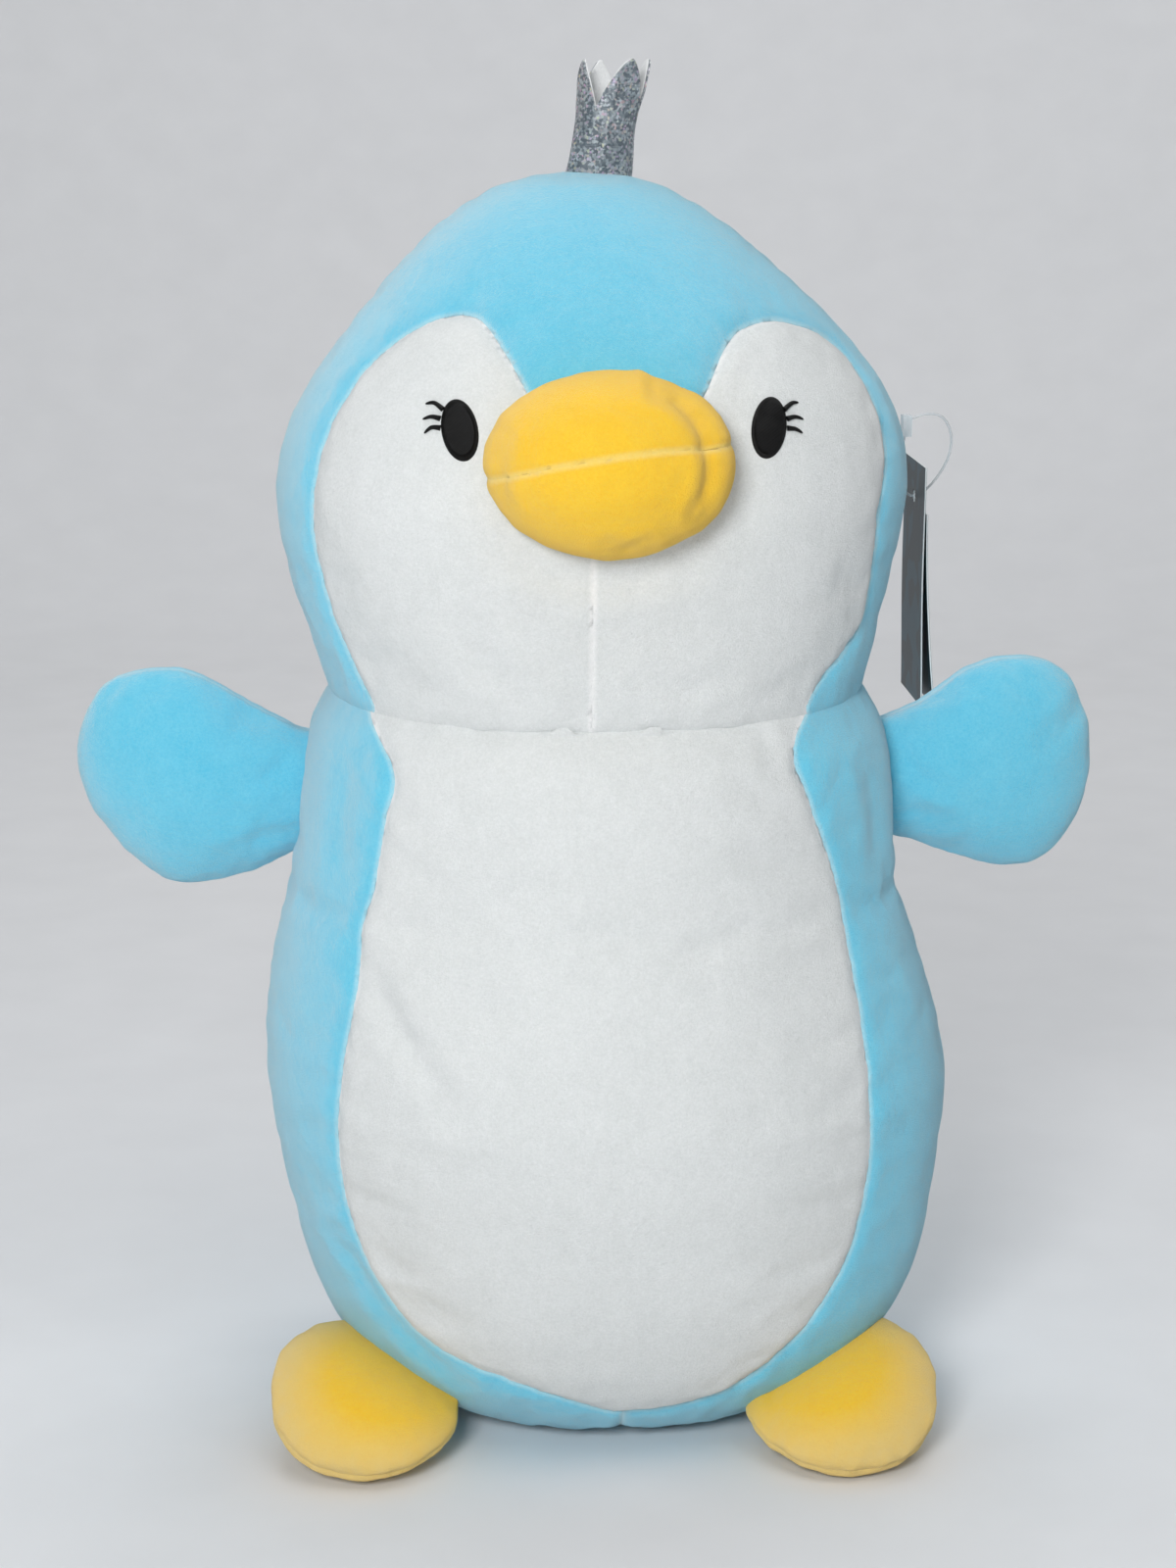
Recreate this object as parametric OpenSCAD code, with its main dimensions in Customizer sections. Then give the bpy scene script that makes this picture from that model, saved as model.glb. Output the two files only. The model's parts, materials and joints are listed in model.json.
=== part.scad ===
// Plush penguin: a stuffed head and body, flipper arms, feet, beak, crown and hang tag.
// The front faces -Y, +Z is up, and the origin is the centre of the flat base.
// Left and right are the toy's own, so its left is +X.

/* [Body] */
// Widest width of the body
body_w = 262; // [240:1:280]
// Height of the neck seam above the floor
neck_z = 283; // [270:1:290]
// Depth of the head and body as a share of their width
depth_share = 0.82; // [0.76:0.01:0.86]
// Thickness of the cloth with its pile
cloth = 2.4; // [2:0.1:3]
// Width of the oval base
base_w = 124; // [118:1:128]

/* [Head] */
// Widest width of the head
head_w = 232; // [220:1:236]
// Height of the head above the neck seam
head_h = 187; // [180:1:190]
// Height of the eyes above the neck seam
eye_z = 104; // [100:1:108]
// Distance of each eye from the centre
eye_x = 53; // [50:1:56]

/* [Beak] */
// Width of the beak
beak_w = 86; // [80:1:92]
// Height of the beak
beak_h = 64; // [56:1:68]
// How far the beak stands out from the face
beak_out = 44; // [38:1:48]
// Height of the beak's centre above the neck seam
beak_z = 94; // [92:1:96]
// Roll of the beak, lifting its left side
beak_roll = 5; // [0:1:8]

/* [Arms] */
// Distance of the arm's pivot from the centre
arm_x = 124.5; // [124.5:0.5:126]
// Height of the arm's pivot
arm_z = 246; // [240:1:250]
// Length of an arm beyond its pivot
arm_len = 70; // [64:1:72]
// Height of an arm at its widest
arm_h = 86; // [78:1:88]
// Thickness of an arm
arm_t = 38; // [32:1:40]
// Radius of the arm's sewn root
arm_root_r = 11; // [9:0.5:11]

/* [Feet] */
// Width of a foot
foot_w = 76; // [70:1:77]
// Length of a foot beyond its root
foot_len = 60; // [56:1:60]
// Thickness of a foot
foot_t = 26; // [22:1:27]
// Slope of a foot down to the floor
foot_tilt = 34; // [32:1:35]
// Turn of a foot out from the front
foot_splay = 48; // [44:1:52]

/* [Crown] */
// Radius of the crown's tube at its base
crown_r = 12.6; // [11:0.2:13]
// Height of the crown with its petals
crown_h = 41; // [36:1:44]
// Number of petals
crown_petals = 4; // [4:1:6]
// Lean of the crown towards the toy's left
crown_lean = 7; // [0:1:8]

/* [Hang tag] */
// Width of the card
tag_w = 48; // [44:1:48]
// Length of a leaf below the fold
tag_leaf = 75; // [65:1:75]
// Height of the header above the fold
tag_header = 18; // [16:1:20]
// Thickness of the card
tag_t = 0.6; // [0.5:0.1:0.8]

/* [Hidden] */

blue = "#7fd3e6";
white = "#eef0f2";
yellow = "#f8c93c";
fill = "#f4f1ea";
silver = "#c4c6cf";

ring_n = 40;      // points round the head and body
core_n = 24;      // points round the stuffing and the small forms
round_p = 2.2;    // superellipse power of the head and body
limb_p = 2;       // power of the limbs and the beak
gap = 1.2;        // between the stuffing and the cloth
far = 300;        // reach of a cutting solid

// Half-width and height of the body, as shares of half its width and of the neck's height
body_shape = [
    [base_w / body_w, 0], [0.61, 0.028], [0.79, 0.1], [0.9, 0.2], [0.96, 0.325], [1, 0.48],
    [0.94, 0.62], [0.87, 0.74], [0.855, 0.865], [0.832, 0.947], [0.763, 1]
];
// The same for the head, above the neck seam; its foot matches the body's neck
head_shape = [
    [0.763 * body_w / head_w, 0], [0.948, 0.2], [1, 0.4], [0.948, 0.55], [0.81, 0.68],
    [0.638, 0.797], [0.466, 0.893], [0.26, 0.968], [0.006, 1]
];
// Half-width and reach of the beak, as shares of half its width and of its stand-out
beak_shape = [
    [0.8, -0.55], [0.93, 0], [1, 0.22], [0.97, 0.45], [0.84, 0.68], [0.6, 0.86], [0.3, 0.97],
    [0.01, 1]
];
// Half-height and reach of an arm beyond its pivot, in shares
arm_shape = [
    [0.33, 0.2], [0.72, 0.32], [0.95, 0.47], [1, 0.63], [0.92, 0.79], [0.68, 0.92],
    [0.33, 0.985], [0.01, 1]
];
// Half-width and reach of a foot beyond its root, in shares
foot_shape = [
    [0.74, 0.11], [0.93, 0.24], [1, 0.42], [0.94, 0.63], [0.74, 0.82], [0.42, 0.95],
    [0.01, 1]
];

// Edge of a white face lobe, from the neck seam round the eye to the centre, x and height
// above the neck seam
face_edge = [
    [74, -12], [75, 0], [94, 25], [102, 62], [101, 92], [86, 122], [60, 138], [41, 130],
    [28, 109], [0, 86]
];
// Edge of the belly panel, x and height above the floor
belly_edge = [
    [72, neck_z + 8], [72, neck_z - 12], [79, 240], [88, 210], [92, 182], [97, 150], [98, 122],
    [94, 88], [84, 66], [66, 45], [40, 29], [0, 18]
];

eye_w = 13;
eye_h = 21;
eye_lean = 9;
stitch = 1;       // height of the embroidery above the cloth
lash_w = 1.6;
lash_len = 6.5;
lash_angles = [33, 8, -10];
lash_rise = [6, 2, -2];

beak_y = -84;

arm_lift = 2;
foot_root = [70, -56, 34];
foot_clear = 6;   // between the foot and the body, for the foot's travel

crown_at = [2.5, 12, neck_z + head_h - 0.5];
crown_foot = 5.5; // the tube starts this far above its pivot, clear of the head as it tilts
crown_notch = 22;
crown_flare = 2.4;
crown_wall = 0.9;

tag_hole = [127, 45, 346];
tag_fold_z = 342;
hole_r = 2.2;
loop_r = 0.5;
// Route of the loop: out of the head's seam, through the card's hole and back
loop_route = [
    [118, 12, 379], [125, 16, 381], [133, 23, 379], [138, 31, 371], [138, 38, 361],
    [133, 43, 351], [127, 45, 346], [122, 43, 349], [119.5, 36, 357], [118.5, 27, 366],
    [118, 18, 373], [117.5, 12, 375.5]
];
pin_size = [3.4, 6, 8];
pin_at = [117, 9.6, 377.5];

label_w = 30;
label_len = 40;
label_t = 0.6;
label_hinge = [0, 104, 80];

// Functions

function signed_power(v, p) = sign(v) * pow(abs(v), p);

function ring(a, b, z, n, p) = [
    for (i = [0 : n - 1])
        let (t = 360 * i / n)
            [a * signed_power(cos(t), 2 / p), b * signed_power(sin(t), 2 / p), z]
];

function spline_point(a, b, c, d, t) =
    0.5 * (2 * b + (c - a) * t + (2 * a - 5 * b + 4 * c - d) * t * t
        + (3 * b - a - 3 * c + d) * t * t * t);

// A smooth curve through the points, with k steps in each span
function curve(pts, k) =
    let (m = len(pts) - 1)
        concat(
            [for (i = [0 : m - 1], j = [0 : k - 1])
                spline_point(
                    i == 0 ? 2 * pts[0] - pts[1] : pts[i - 1], pts[i], pts[i + 1],
                    i == m - 1 ? 2 * pts[m] - pts[m - 1] : pts[i + 2], j / k)],
            [pts[m]]
        );

function scaled(shape, w, h) = [for (q = shape) [q[0] * w, q[1] * h]];

function unit(v) = v / norm(v);

// Outward normal of a profile that runs upwards
function profile_normal(c, i) =
    let (t = unit(c[min(i + 1, len(c) - 1)] - c[max(i - 1, 0)])) [t[1], -t[0]];

// Rings of a form from its profile, drawn in by inset
function form_rings(profile, share, n, p, inset) = [
    for (i = [0 : len(profile) - 1])
        let (q = profile[i], m = profile_normal(profile, i) * inset)
            ring(max(q[0] - m[0], 0.2), max(q[0] * share - m[0], 0.2), q[1] - m[1], n, p)
];

function half_outline(edge) = curve(edge, 4);

function beak_profile(k) = curve(scaled(beak_shape, beak_w / 2, beak_out), k);

function arm_profile(k) = curve(scaled(arm_shape, arm_h / 2, arm_len), k);

function foot_profile(k) = curve(scaled(foot_shape, foot_w / 2, foot_len), k);

// Shared solids

module loft(rings) {
    m = len(rings);
    n = len(rings[0]);
    points = [for (r = rings, q = r) q];
    sides = [
        for (i = [0 : m - 2], j = [0 : n - 1])
            let (a = i * n + j, b = i * n + (j + 1) % n)
                each [[a, a + n, b + n], [a, b + n, b]]
    ];
    bottom = [for (j = [0 : n - 1]) j];
    top = [for (j = [n - 1 : -1 : 0]) (m - 1) * n + j];
    polyhedron(points, concat(sides, [bottom, top]));
}

// A boolean of faceted forms, worked out as one mesh
module meshed() {
    resize([0, 0, 0]) children();
}

module body_form(inset = 0, k = 2, n = ring_n) {
    loft(form_rings(curve(scaled(body_shape, body_w / 2, neck_z), k), depth_share, n, round_p,
        inset));
}

module head_form(inset = 0, k = 2, n = ring_n) {
    translate([0, 0, neck_z])
        loft(form_rings(curve(scaled(head_shape, head_w / 2, head_h), k), depth_share, n,
            round_p, inset));
}

// The opening through the neck seam, inside the cloth
module neck_hollow() {
    r = ring(0.763 * body_w / 2 - cloth, 0.763 * body_w / 2 * depth_share - cloth, 0, ring_n,
        round_p);
    translate([0, 0, neck_z - 4])
        loft([r, [for (q = r) q + [0, 0, 8]]]);
}

module base_oval(grow = 0, height = cloth) {
    linear_extrude(height)
        polygon([for (q = ring(base_w / 2 + grow, base_w / 2 * depth_share + grow, 0, 72,
            round_p)) [q[0], q[1]]]);
}

module body_skin() {
    difference() {
        body_form();
        body_form(cloth);
        neck_hollow();
        translate([0, 0, -1]) base_oval(0.3, cloth + 2);
    }
}

module head_skin() {
    difference() {
        head_form();
        head_form(cloth);
        neck_hollow();
    }
}

module front_half() {
    translate([-far, -far, -far]) cube([2 * far, far, 4 * far]);
}

module back_half() {
    translate([-far, 0, -far]) cube([2 * far, far, 4 * far]);
}

module left_half() {
    translate([0, -far, -far]) cube([far, 2 * far, 4 * far]);
}

module right_half() {
    translate([-far, -far, -far]) cube([far, 2 * far, 4 * far]);
}

// A prism along Y from an outline in X and Z, over the front
module front_prism(points) {
    rotate([90, 0, 0]) linear_extrude(far) polygon(points);
}

module face_lobe() {
    edge = half_outline(face_edge);
    translate([0, 0, neck_z]) front_prism(concat(edge, [[0, -12]]));
}

module belly_half() {
    edge = half_outline(belly_edge);
    front_prism(concat(edge, [[0, neck_z + 8]]));
}

module mirrored() {
    children();
    mirror([1, 0, 0]) children();
}

// Head

module head_front_panel() {
    color(blue) meshed() difference() {
        intersection() {
            head_skin();
            front_half();
        }
        mirrored() face_lobe();
    }
}

module head_back_left_panel() {
    color(blue) meshed() intersection() {
        head_skin();
        back_half();
        left_half();
    }
}

module head_back_right_panel() {
    color(blue) meshed() intersection() {
        head_skin();
        back_half();
        right_half();
    }
}

module face_left_panel() {
    color(white) meshed() intersection() {
        head_skin();
        face_lobe();
    }
}

module face_right_panel() {
    color(white) meshed() intersection() {
        head_skin();
        mirror([1, 0, 0]) face_lobe();
    }
}

module head_stuffing() {
    color(fill) head_form(cloth + gap, 1, core_n);
}

// Beak

module beak_form(inset = 0, k = 2) {
    translate([0, beak_y, neck_z + beak_z])
        rotate([90, beak_roll, 0])
            loft(form_rings(beak_profile(k), beak_h / beak_w, core_n, limb_p, inset));
}

module beak_cloth() {
    difference() {
        beak_form();
        beak_form(cloth);
        head_form();
    }
}

module above_beak_seam(side) {
    translate([0, 0, neck_z + beak_z])
        rotate([0, -beak_roll, 0])
            translate([-far, -far, side > 0 ? 0 : -far])
                cube([2 * far, 2 * far, far]);
}

module beak_upper_panel() {
    color(yellow) meshed() intersection() {
        beak_cloth();
        above_beak_seam(1);
    }
}

module beak_lower_panel() {
    color(yellow) meshed() intersection() {
        beak_cloth();
        above_beak_seam(-1);
    }
}

module beak_stuffing() {
    color(fill) meshed() difference() {
        beak_form(cloth + gap / 2);
        head_form(-gap / 2);
    }
}

// Embroidery: a raised layer on the face, inside an outline
module embroidery() {
    intersection() {
        difference() {
            head_form(-stitch);
            head_form();
        }
        children();
    }
}

module eye_prism() {
    oval = [for (t = [0 : 20 : 340]) [eye_w / 2 * cos(t), eye_h / 2 * sin(t)]];
    translate([eye_x, 0, neck_z + eye_z])
        rotate([0, eye_lean, 0])
            front_prism(oval);
}

module lash_prisms() {
    for (i = [0 : 2])
        translate([eye_x + eye_w / 2 - 1, 0, neck_z + eye_z + lash_rise[i]])
            rotate([0, -lash_angles[i], 0])
                front_prism([[0, -lash_w / 2], [lash_len, -lash_w / 3], [lash_len, lash_w / 3],
                    [0, lash_w / 2]]);
}

module eye() {
    color("black") meshed() embroidery() eye_prism();
}

module lashes() {
    color("black") meshed() embroidery() difference() {
        lash_prisms();
        eye_prism();
    }
}

module eye_left() {
    eye();
}

module eye_right() {
    mirror([1, 0, 0]) eye();
}

module lashes_left() {
    lashes();
}

module lashes_right() {
    mirror([1, 0, 0]) lashes();
}

// Body

module belly_panel() {
    color(white) meshed() intersection() {
        body_skin();
        mirrored() belly_half();
    }
}

module body_side() {
    difference() {
        intersection() {
            body_skin();
            front_half();
            left_half();
        }
        belly_half();
    }
}

module body_back() {
    intersection() {
        body_skin();
        back_half();
        left_half();
    }
}

module body_side_left_panel() {
    color(blue) meshed() body_side();
}

module body_side_right_panel() {
    color(blue) meshed() mirror([1, 0, 0]) body_side();
}

module body_back_left_panel() {
    color(blue) meshed() body_back();
}

module body_back_right_panel() {
    color(blue) meshed() mirror([1, 0, 0]) body_back();
}

module base_panel() {
    color(blue) base_oval();
}

module body_stuffing() {
    color(fill) body_form(cloth + gap, 1, core_n);
}

// Arms, made for the left side and mirrored for the right

module arm_form(inset = 0, k = 2) {
    translate([arm_x, 0, arm_z])
        rotate([0, 90 - arm_lift, 0])
            loft(form_rings(arm_profile(k), arm_t / arm_h, core_n, limb_p, inset));
}

module arm_cloth() {
    difference() {
        arm_form();
        arm_form(cloth);
    }
}

module arm_root() {
    color(blue) translate([arm_x, 0, arm_z]) sphere(arm_root_r, $fn = 32);
}

module arm_front() {
    color(blue) meshed() intersection() {
        arm_cloth();
        front_half();
    }
}

module arm_back() {
    color(blue) meshed() intersection() {
        arm_cloth();
        back_half();
    }
}

module arm_stuffing() {
    color(fill) arm_form(cloth + gap / 2, 1);
}

module arm_left_root() {
    arm_root();
}

module arm_left_front_panel() {
    arm_front();
}

module arm_left_back_panel() {
    arm_back();
}

module arm_left_stuffing() {
    arm_stuffing();
}

module arm_right_root() {
    mirror([1, 0, 0]) arm_root();
}

module arm_right_front_panel() {
    mirror([1, 0, 0]) arm_front();
}

module arm_right_back_panel() {
    mirror([1, 0, 0]) arm_back();
}

module arm_right_stuffing() {
    mirror([1, 0, 0]) arm_stuffing();
}

// Feet, made for the left side and mirrored for the right

module foot_frame() {
    translate(foot_root)
        rotate([foot_tilt, 0, 0])
            rotate([0, 0, foot_splay])
                rotate([90, 0, 0])
                    children();
}

module foot_form(inset = 0, k = 2) {
    foot_frame()
        loft(form_rings(foot_profile(k), foot_t / foot_w, core_n, limb_p, inset));
}

module foot_solid(inset = 0, k = 2) {
    difference() {
        foot_form(inset, k);
        body_form(-foot_clear - inset);
    }
}

// The half of space above or below the foot's seam
module foot_side(side) {
    foot_frame()
        translate([-far, side > 0 ? 0 : -far, -far])
            cube([2 * far, far, 2 * far]);
}

module foot_cloth() {
    difference() {
        foot_solid();
        foot_form(cloth);
    }
}

module foot_upper() {
    color(yellow) meshed() intersection() {
        foot_cloth();
        foot_side(1);
    }
}

module foot_sole() {
    color(yellow) meshed() intersection() {
        foot_cloth();
        foot_side(-1);
    }
}

module foot_stuffing() {
    color(fill) meshed() foot_solid(cloth + gap / 2, 1);
}

module foot_left_upper_panel() {
    foot_upper();
}

module foot_left_sole() {
    foot_sole();
}

module foot_left_stuffing() {
    foot_stuffing();
}

module foot_right_upper_panel() {
    mirror([1, 0, 0]) foot_upper();
}

module foot_right_sole() {
    mirror([1, 0, 0]) foot_sole();
}

module foot_right_stuffing() {
    mirror([1, 0, 0]) foot_stuffing();
}

// Crown: a flared tube with pointed petals, in two layers

module crown_notches() {
    half = 180 / crown_petals;
    w = (crown_r + crown_flare) * sin(half);
    for (i = [0 : crown_petals - 1])
        rotate([0, 0, (i + 0.5) * 2 * half - 90])
            rotate([90, 0, 90])
                linear_extrude(2 * crown_r)
                    polygon([[0, crown_notch], [w * 0.4, crown_notch + 8], [w, crown_h + 0.1],
                        [-w, crown_h + 0.1], [-w * 0.4, crown_notch + 8]]);
}

module crown_layer(inset) {
    r0 = crown_r - inset;
    r1 = r0 + crown_flare;
    translate(crown_at)
        rotate([0, crown_lean, 0])
            difference() {
                rotate_extrude($fn = 48)
                    polygon([[r0 - crown_wall, crown_foot], [r0, crown_foot], [r1, crown_h],
                        [r1 - crown_wall, crown_h]]);
                crown_notches();
            }
}

module crown_outer() {
    color(silver) crown_layer(0);
}

module crown_lining() {
    color("#d8d8de") crown_layer(crown_wall + 0.1);
}

// Hang tag: a card in the YZ plane with a second leaf that opens from the fold

module card(x, z0, z1) {
    translate([x, tag_hole[1] - tag_w / 2, z0]) cube([tag_t, tag_w, z1 - z0]);
}

module tag_back_leaf() {
    color("#12424d") difference() {
        card(tag_hole[0] - tag_t / 2, tag_fold_z - tag_leaf, tag_fold_z + tag_header);
        translate(tag_hole - [far / 2, 0, 0]) rotate([0, 90, 0]) cylinder(far, r = hole_r, $fn = 32);
    }
}

module tag_front_leaf() {
    color("#12424d") card(tag_hole[0] + tag_t / 2 + 0.3, tag_fold_z - tag_leaf, tag_fold_z);
}

module tube(route, r, n) {
    m = len(route) - 1;
    rings = [
        for (i = [0 : m])
            let (
                t = unit(route[min(i + 1, m)] - route[max(i - 1, 0)]),
                u = unit(cross([0, 0, 1], t)),
                v = cross(t, u)
            )
                [for (j = [0 : n - 1]) route[i] + r * (u * cos(360 * j / n) + v * sin(360 * j / n))]
    ];
    loft(rings);
}

module tag_loop() {
    color("#e8eef0") tube(curve(loop_route, 4), loop_r, 8);
}

module tag_pin() {
    color("#e8eef0") meshed() difference() {
        translate(pin_at - pin_size / 2) cube(pin_size);
        head_form();
        tube(curve(loop_route, 4), loop_r, 8);
    }
}

module care_label() {
    color("white")
        translate(label_hinge - [label_w / 2, label_t / 2, label_len])
            cube([label_w, label_t, label_len - 0.4]);
}

head_front_panel();
head_back_left_panel();
head_back_right_panel();
face_left_panel();
face_right_panel();
head_stuffing();
beak_upper_panel();
beak_lower_panel();
beak_stuffing();
eye_left();
eye_right();
lashes_left();
lashes_right();
belly_panel();
body_side_left_panel();
body_side_right_panel();
body_back_left_panel();
body_back_right_panel();
base_panel();
body_stuffing();
arm_left_root();
arm_left_front_panel();
arm_left_back_panel();
arm_left_stuffing();
arm_right_root();
arm_right_front_panel();
arm_right_back_panel();
arm_right_stuffing();
foot_left_upper_panel();
foot_left_sole();
foot_left_stuffing();
foot_right_upper_panel();
foot_right_sole();
foot_right_stuffing();
crown_outer();
crown_lining();
tag_back_leaf();
tag_front_leaf();
tag_loop();
tag_pin();
care_label();
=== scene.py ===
import bmesh
import bpy
import json
import math
import numpy as np
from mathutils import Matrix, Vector, noise
from mathutils.bvhtree import BVHTree
from mathutils.kdtree import KDTree


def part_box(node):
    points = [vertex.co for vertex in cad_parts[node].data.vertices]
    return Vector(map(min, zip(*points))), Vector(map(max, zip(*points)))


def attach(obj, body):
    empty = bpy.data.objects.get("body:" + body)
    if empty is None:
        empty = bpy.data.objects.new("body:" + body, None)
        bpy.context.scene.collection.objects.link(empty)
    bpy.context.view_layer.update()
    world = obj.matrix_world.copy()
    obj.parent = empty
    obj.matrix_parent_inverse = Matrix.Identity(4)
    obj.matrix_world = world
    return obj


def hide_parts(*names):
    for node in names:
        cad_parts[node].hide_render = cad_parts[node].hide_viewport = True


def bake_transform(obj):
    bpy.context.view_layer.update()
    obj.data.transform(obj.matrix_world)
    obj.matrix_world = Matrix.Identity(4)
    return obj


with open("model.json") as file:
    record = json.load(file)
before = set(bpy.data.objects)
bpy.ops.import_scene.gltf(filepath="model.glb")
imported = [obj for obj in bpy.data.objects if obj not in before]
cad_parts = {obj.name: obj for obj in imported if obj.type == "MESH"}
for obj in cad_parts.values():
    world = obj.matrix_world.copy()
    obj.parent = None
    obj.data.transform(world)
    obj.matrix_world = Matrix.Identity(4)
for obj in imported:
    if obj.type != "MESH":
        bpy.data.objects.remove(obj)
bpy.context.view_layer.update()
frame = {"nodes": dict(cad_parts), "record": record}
mm = 0.001
print("frame loaded")

# lengths in the dictionaries are in millimetres, angles in degrees

cameraView = dict(target=(-3, 0, 243), turn=-3, rise=13.5, distance=1100, lens=66.375)


def addCamera(view):
    turn, rise = math.radians(view["turn"]), math.radians(view["rise"])
    back = Vector((math.sin(turn) * math.cos(rise), -math.cos(turn) * math.cos(rise), math.sin(rise)))
    target = Vector(view["target"]) * mm
    bpy.ops.object.camera_add(location=target + back * view["distance"] * mm)
    camera = bpy.context.object
    camera.rotation_euler = back.to_track_quat("Z", "Y").to_euler()
    camera.data.lens = view["lens"]
    camera.data.clip_end = 20
    bpy.context.scene.camera = camera


addCamera(cameraView)


def only(obj, *others):
    # these and nothing else are selected, the first one active
    if bpy.context.object and bpy.context.object.mode != "OBJECT":
        bpy.ops.object.mode_set(mode="OBJECT")
    bpy.ops.object.select_all(action="DESELECT")
    for chosen in (obj, *others):
        chosen.select_set(True)
    bpy.context.view_layer.objects.active = obj


def linked(name, data):
    obj = bpy.data.objects.new(name, data)
    bpy.context.collection.objects.link(obj)
    return obj


def added(primitive, name, **settings):
    bpy.ops.object.select_all(action="DESELECT")
    primitive(**settings)
    bpy.context.object.name = name
    return bpy.context.object


def reworked(obj, operator, **settings):
    # one edit mode operator on the whole mesh
    only(obj)
    bpy.ops.object.mode_set(mode="EDIT")
    bpy.ops.mesh.select_all(action="SELECT")
    operator(**settings)
    bpy.ops.object.mode_set(mode="OBJECT")


def finishWith(obj, kind, **settings):
    only(obj)
    modifier = obj.modifiers.new(kind.title(), kind)
    for name, value in settings.items():
        setattr(modifier, name, value)
    bpy.ops.object.modifier_apply(modifier=modifier.name)


def vectorsOf(items, key):
    flat = np.empty(len(items) * 3)
    items.foreach_get(key, flat)
    return flat.reshape(-1, 3)


def pointsOf(obj):
    return vectorsOf(obj.data.vertices, "co")


def normalsOf(obj):
    return vectorsOf(obj.data.vertices, "normal")


def centresOf(obj):
    return vectorsOf(obj.data.polygons, "center")


def movePoints(obj, points):
    obj.data.vertices.foreach_set("co", np.asarray(points, float).ravel())
    obj.data.update()


def mark(obj, name, values, domain="POINT"):
    # a value on each point or face, for the finish to read
    layer = obj.data.attributes.new(name, "FLOAT", domain)
    layer.data.foreach_set("value", np.asarray(values, np.float32))


def smoothShade(obj, angle=50):
    only(obj)
    bpy.ops.object.shade_smooth_by_angle(angle=math.radians(angle))


def curveOf(pairs, at):
    # a soft line through (place, value) pairs, read at any place
    pairs = sorted(pairs)
    fine = np.linspace(pairs[0][0], pairs[-1][0], 400)
    values = np.interp(fine, [p[0] for p in pairs], [p[1] for p in pairs])
    width = 25
    padded = np.pad(values, width, mode="edge")
    kernel = np.hanning(2 * width + 1)
    soft = np.convolve(padded, kernel / kernel.sum(), mode="valid")
    return np.interp(at, fine, soft)


def through(points, steps=8, closed=False):
    # a Catmull-Rom line through the points
    p = np.array(points, float)
    ring = np.concatenate([p[-1:], p, p[:2]] if closed else [p[:1], p, p[-1:]])
    line = []
    for a, b, c, d in zip(ring, ring[1:], ring[2:], ring[3:]):
        for t in np.arange(steps) / steps:
            line.append(0.5 * (2 * b + (c - a) * t + (2 * a - 5 * b + 4 * c - d) * t ** 2
                               + (3 * b - a - 3 * c + d) * t ** 3))
    return np.array(line if closed else line + [p[-1]])


def wireOf(name, route, radius, capped=False):
    line = bpy.data.curves.new(name, "CURVE")
    line.dimensions = "3D"
    line.bevel_depth = radius
    line.bevel_resolution = 3
    line.use_fill_caps = capped
    spline = line.splines.new("POLY")
    spline.points.add(len(route) - 1)
    for point, place in zip(spline.points, route):
        point.co = (*place, 1)
    return linked(name, line)


def distanceTo(points, line):
    # how far each point is from a line of points
    best = np.full(len(points), 1e9)
    for a, b in zip(line, line[1:]):
        span = b - a
        t = np.clip(((points - a) @ span) / max(span @ span, 1e-12), 0, 1)
        best = np.minimum(best, np.linalg.norm(points - a - t[:, None] * span, axis=1))
    return best


def insideOf(points, line):
    # which flat points a closed outline holds
    hits = np.zeros(len(points), bool)
    px, py = points[:, 0], points[:, 1]
    for (ax, ay), (bx, by) in zip(line, np.roll(line, -1, axis=0)):
        spans = (ay > py) != (by > py)
        with np.errstate(divide="ignore", invalid="ignore"):
            cross = (bx - ax) * (py - ay) / (by - ay if by != ay else 1e-12) + ax
        hits ^= spans & (px < cross)
    return hits


def sideOf(points, line):
    # signed distance to a closed outline, negative inside
    away = distanceTo(points, np.vstack([line, line[:1]]))
    return np.where(insideOf(points, line), -away, away)


class Wire:
    # a socket whose Python maths adds Math nodes
    def __init__(self, finish, socket):
        self.finish, self.socket = finish, socket

    def maths(self, operation, *others):
        return self.finish.node("ShaderNodeMath", dict(operation=operation), dict(enumerate(others)))

    def __add__(self, other):
        return self.maths("ADD", self, other)

    def __sub__(self, other):
        return self.maths("SUBTRACT", self, other)

    def __rsub__(self, other):
        return self.maths("SUBTRACT", other, self)

    def __mul__(self, other):
        return self.maths("MULTIPLY", self, other)

    __radd__, __rmul__ = __add__, __mul__

    def clamped(self):
        return self.finish.node("ShaderNodeClamp", {}, {0: self})

    def between(self, low, high):
        return self.finish.node("ShaderNodeMapRange", dict(interpolation_type="SMOOTHSTEP"),
                                {0: self, 1: low, 2: high, 3: 0.0, 4: 1.0})


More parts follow.
